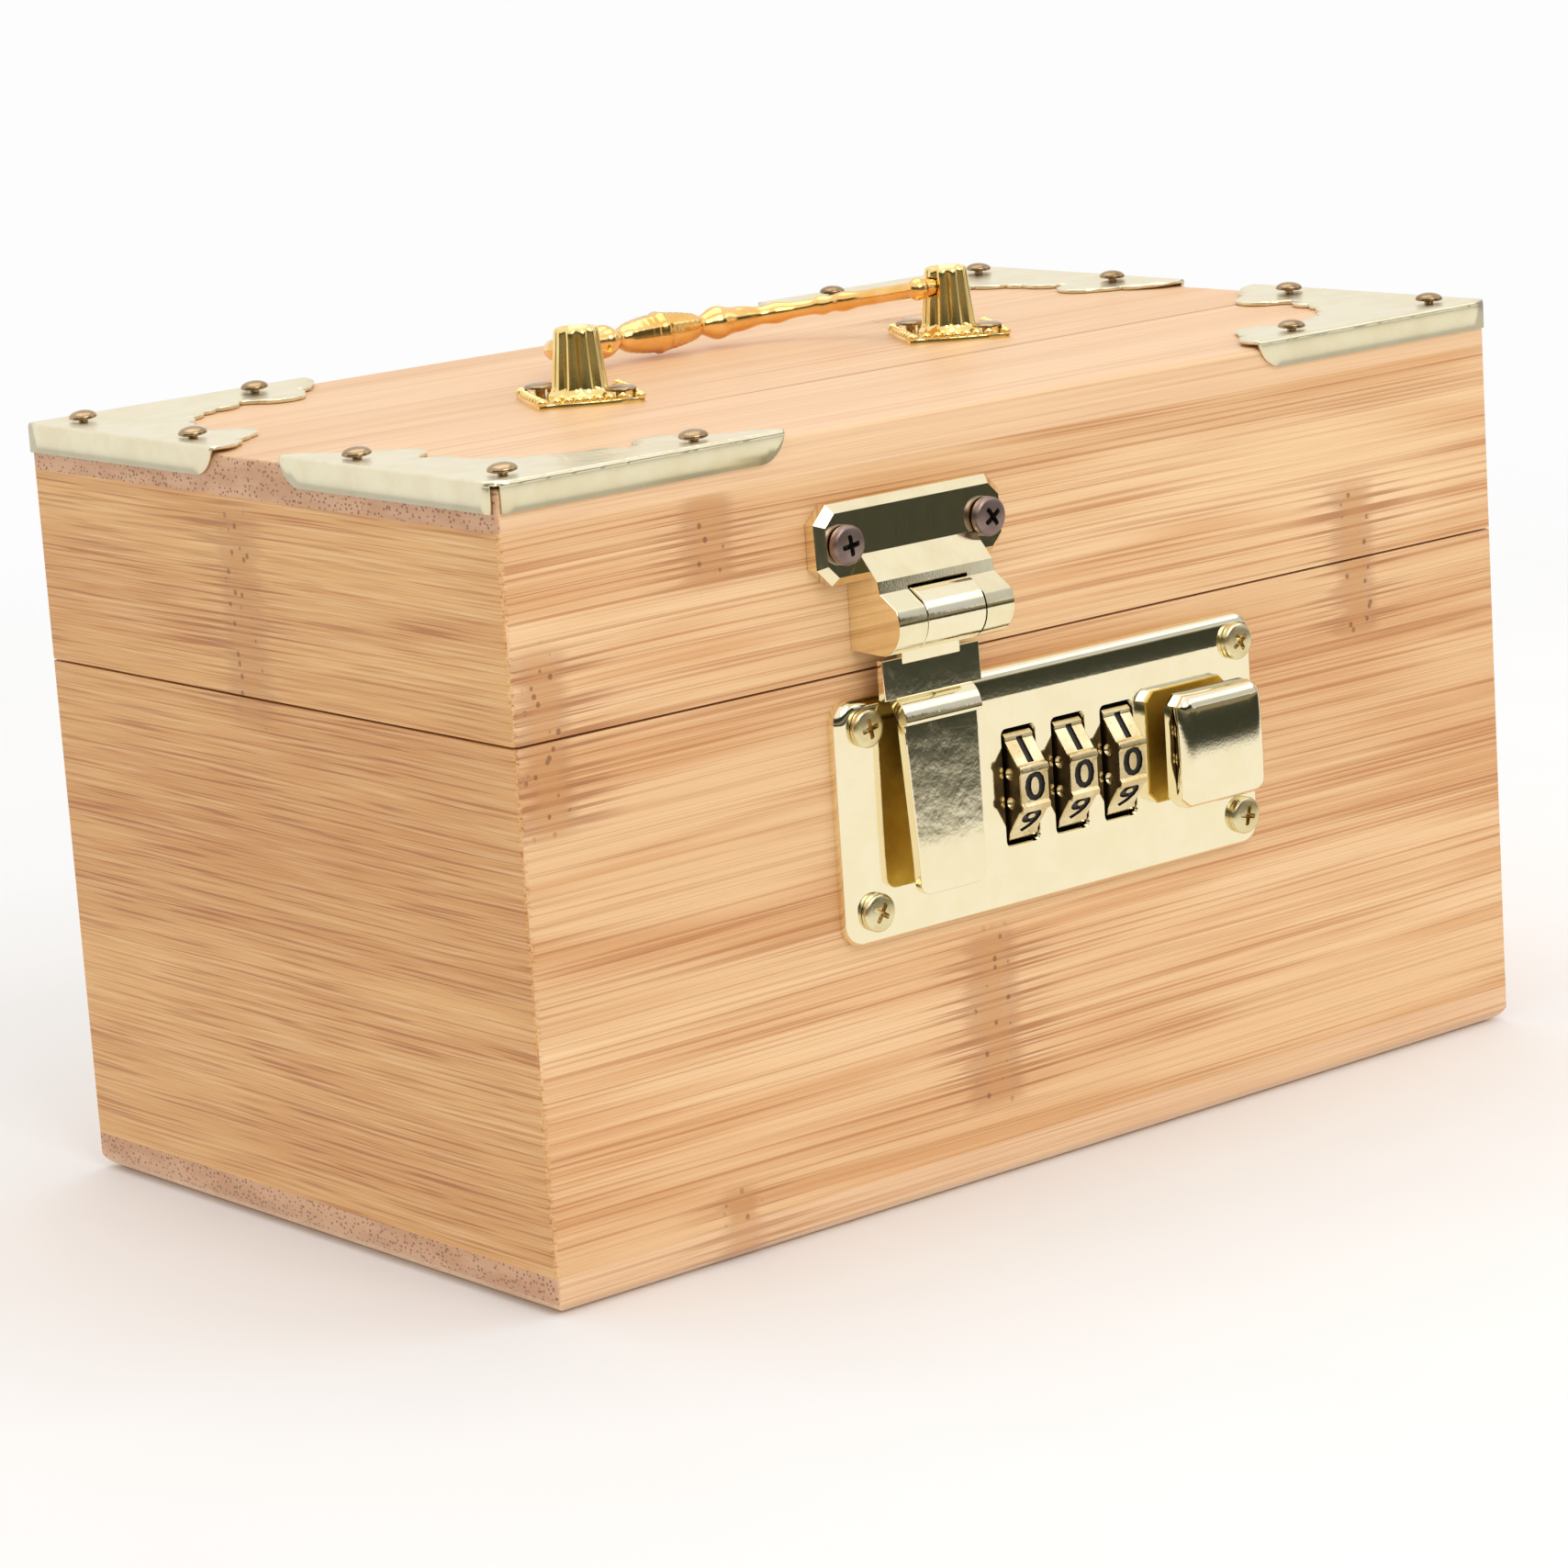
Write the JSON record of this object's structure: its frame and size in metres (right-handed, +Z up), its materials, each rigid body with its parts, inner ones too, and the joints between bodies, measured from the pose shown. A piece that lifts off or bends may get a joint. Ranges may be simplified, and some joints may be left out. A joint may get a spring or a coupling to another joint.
{
  "type": "wooden money box",
  "caption": "Hinged bamboo box with a carrying handle, corner brackets and a brass hasp held by a combination lock, for keeping money.",
  "frame": {"origin": "centre of the underside of the box", "axes": "+X to the right seen from the lock side, +Y to the back hinges, +Z up"},
  "size_m": [0.169, 0.1163, 0.1101],
  "materials": {
    "bamboo": "fine brushed lacquered bamboo with long streaks and brown node bands",
    "bamboo_pale": "paler lacquered bamboo, satin",
    "brass_pale": "satin pale brass",
    "brass_mirror": "polished pale gold plate",
    "brass_rich": "polished deep gold",
    "wheel_gold": "polished gold with blackened digits",
    "bronze_dark": "dark bronze plate",
    "plated_steel": "zinc plated"
  },
  "bodies": {
    "base": {"panel_front": "bamboo", "panel_back": "bamboo", "panel_left": "bamboo", "panel_right": "bamboo", "panel_bottom": "bamboo", "lock_plate": "brass_mirror", "lock_plate_screws": "brass_mirror", "lock_case": "plated_steel", "lock_case_cover": "plated_steel", "case_cover_screws": "plated_steel", "dial_axle": "plated_steel", "detent_springs": "plated_steel", "hinge_left_base_leaf": "brass_pale", "hinge_right_base_leaf": "brass_pale", "hinge_left_pin": "brass_pale", "hinge_right_pin": "brass_pale", "hinge_base_screws": "brass_pale"},
    "lid": {"lid_front": "bamboo", "lid_back": "bamboo", "lid_left": "bamboo", "lid_right": "bamboo", "lid_top": "bamboo_pale", "bracket_front_left": "brass_pale", "bracket_front_right": "brass_pale", "bracket_back_left": "brass_pale", "bracket_back_right": "brass_pale", "bracket_tacks": "brass_rich", "handle_post_left": "brass_rich", "handle_post_right": "brass_rich", "handle_foot_tacks": "brass_rich", "hasp_mount": "brass_mirror", "hasp_mount_screws": "bronze_dark", "hasp_pin": "plated_steel", "hinge_left_lid_leaf": "brass_pale", "hinge_right_lid_leaf": "brass_pale", "hinge_lid_screws": "brass_pale"},
    "hasp": {"hasp_flap": "brass_mirror", "hasp_staple": "plated_steel"},
    "handle": {"handle_bail": "brass_rich"},
    "wheel_1": {"dial_wheel_1": "wheel_gold", "dial_cam_1": "brass_pale"},
    "wheel_2": {"dial_wheel_2": "wheel_gold", "dial_cam_2": "brass_pale"},
    "wheel_3": {"dial_wheel_3": "wheel_gold", "dial_cam_3": "brass_pale"},
    "knob": {"release_knob": "brass_mirror", "latch_bar": "plated_steel"}
  },
  "joints": [
    {"name": "lid_hinge", "type": "hinge", "parent": "base", "child": "lid", "pos_m": [0, 0.0536, 0.06995], "axis": [-1, 0, 0], "range_deg": [0, 100]},
    {"name": "hasp_swing", "type": "hinge", "parent": "lid", "child": "hasp", "pos_m": [-0.0224, -0.0565, 0.0765], "axis": [-1, 0, 0], "range_deg": [0, 120]},
    {"name": "handle_swing", "type": "hinge", "parent": "lid", "child": "handle", "pos_m": [0, 0, 0.1076], "axis": [1, 0, 0], "range_deg": [0, 196]},
    {"name": "knob_slide", "type": "slide", "parent": "base", "child": "knob", "axis": [-1, 0, 0], "range_m": [0, 0.0021]},
    {"name": "wheel_1_turn", "type": "hinge", "parent": "base", "child": "wheel_1", "pos_m": [-0.00695, -0.0479, 0.0513], "axis": [1, 0, 0], "continuous": true},
    {"name": "wheel_2_turn", "type": "hinge", "parent": "base", "child": "wheel_2", "pos_m": [0.0016, -0.0479, 0.0513], "axis": [1, 0, 0], "continuous": true},
    {"name": "wheel_3_turn", "type": "hinge", "parent": "base", "child": "wheel_3", "pos_m": [0.01015, -0.0479, 0.0513], "axis": [1, 0, 0], "continuous": true}
  ]
}
